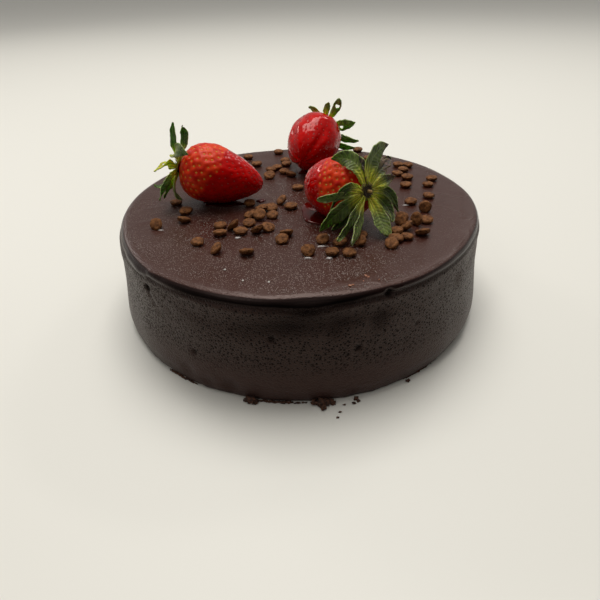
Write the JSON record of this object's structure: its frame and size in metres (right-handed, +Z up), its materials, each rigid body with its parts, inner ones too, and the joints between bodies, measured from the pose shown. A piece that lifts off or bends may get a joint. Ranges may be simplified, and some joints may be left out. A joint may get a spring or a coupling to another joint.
{
  "type": "chocolate glazed cake",
  "caption": "Round chocolate-glazed cake topped with whole strawberries and chocolate drops, uncut",
  "frame": {"origin": "on the surface the cake stands on, under the middle of the cake", "axes": "+Z up through the cake, -Y towards the front of the cake, +X to its right"},
  "size_m": [0.1864, 0.1864, 0.0913],
  "materials": {
    "glaze": "semi-gloss dark chocolate glaze",
    "strawberry": "red fruit under clear syrup",
    "leaf": "matte green leaf"
  },
  "bodies": {
    "root": {"cake": "glaze", "berry_left": "strawberry", "berry_back": "strawberry", "berry_right": "strawberry", "calyx_left": "leaf", "calyx_back": "leaf", "calyx_right": "leaf"}
  },
  "joints": []
}
